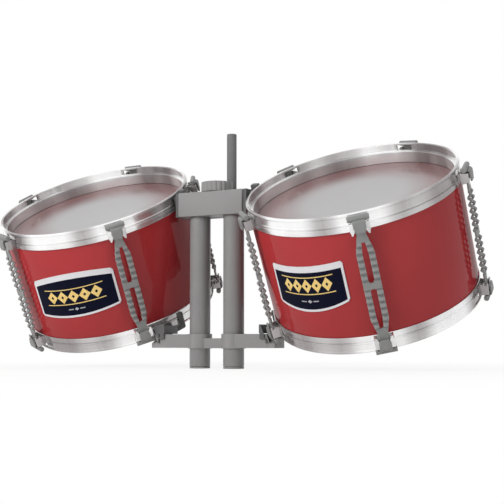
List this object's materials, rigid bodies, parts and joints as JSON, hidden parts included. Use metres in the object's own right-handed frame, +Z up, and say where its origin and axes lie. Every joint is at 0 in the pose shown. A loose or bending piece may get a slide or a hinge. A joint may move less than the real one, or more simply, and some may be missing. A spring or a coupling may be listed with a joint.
{
  "type": "twin tom drum set on a tube mount",
  "caption": "Small tom drums held tilted on a twin-tube mount, with hooked ladder straps round each shell and a height-adjustable cymbal rod behind the mount block.",
  "frame": {"origin": "midway between the lower ends of the two posts, at the level of their flat feet", "axes": "+X along the line of the two drums, from the drum at the picture's left to the one at its right; +Y away from the player; +Z up along the posts"},
  "size_m": [0.5569, 0.2653, 0.2533],
  "materials": {
    "red_wrap": "deep red glossy wrap",
    "silver_hoop": "silver metallised, lightly brushed",
    "drum_head": "smooth satin film, slightly translucent",
    "strap_grey": "grey moulded, satin",
    "stand_grey": "mid grey moulded, satin",
    "post_grey": "grey painted tube, semi-gloss",
    "clip_grey": "dark grey moulded",
    "rod_grey": "dull grey plated rod",
    "screw_steel": "zinc plated",
    "badge_navy": "glossy label, pale border, gold pattern"
  },
  "bodies": {
    "drums_and_mount": {"left_shell": "red_wrap", "left_batter_hoop": "silver_hoop", "left_resonant_hoop": "silver_hoop", "left_batter_head": "drum_head", "left_resonant_head": "drum_head", "left_strap_1": "strap_grey", "left_strap_2": "strap_grey", "left_strap_3": "strap_grey", "left_strap_4": "strap_grey", "left_strap_5": "strap_grey", "left_badge": "badge_navy", "right_shell": "red_wrap", "right_batter_hoop": "silver_hoop", "right_resonant_hoop": "silver_hoop", "right_batter_head": "drum_head", "right_resonant_head": "drum_head", "right_strap_1": "strap_grey", "right_strap_2": "strap_grey", "right_strap_3": "strap_grey", "right_strap_4": "strap_grey", "right_strap_5": "strap_grey", "right_badge": "badge_navy", "left_post": "post_grey", "right_post": "post_grey", "left_post_plug": "clip_grey", "right_post_plug": "clip_grey", "mount_block": "stand_grey", "lower_bracket": "stand_grey", "knob_stud": "screw_steel", "left_upper_clip": "clip_grey", "right_upper_clip": "clip_grey", "left_lower_clip": "clip_grey", "right_lower_clip": "clip_grey", "left_clip_screw": "screw_steel", "right_clip_screw": "screw_steel", "left_bracket_screw": "screw_steel", "right_bracket_screw": "screw_steel"},
    "clamp_knob": {"clamp_knob": "stand_grey"},
    "cymbal_rod": {"cymbal_rod": "rod_grey"},
    "rod_lock_screw": {"rod_lock_screw": "clip_grey"}
  },
  "joints": [
    {"name": "knob_turn", "type": "hinge", "parent": "drums_and_mount", "child": "clamp_knob", "pos_m": [0, 0, 0.1869], "axis": [0, 0, 1], "range_deg": [0, 360]},
    {"name": "rod_height", "type": "slide", "parent": "drums_and_mount", "child": "cymbal_rod", "axis": [0, 0, 1], "range_m": [-0.045, 0.055]},
    {"name": "lock_screw_turn", "type": "hinge", "parent": "drums_and_mount", "child": "rod_lock_screw", "pos_m": [0.00445, 0.024, 0.17365], "axis": [0, 1, 0], "range_deg": [0, 360]}
  ]
}
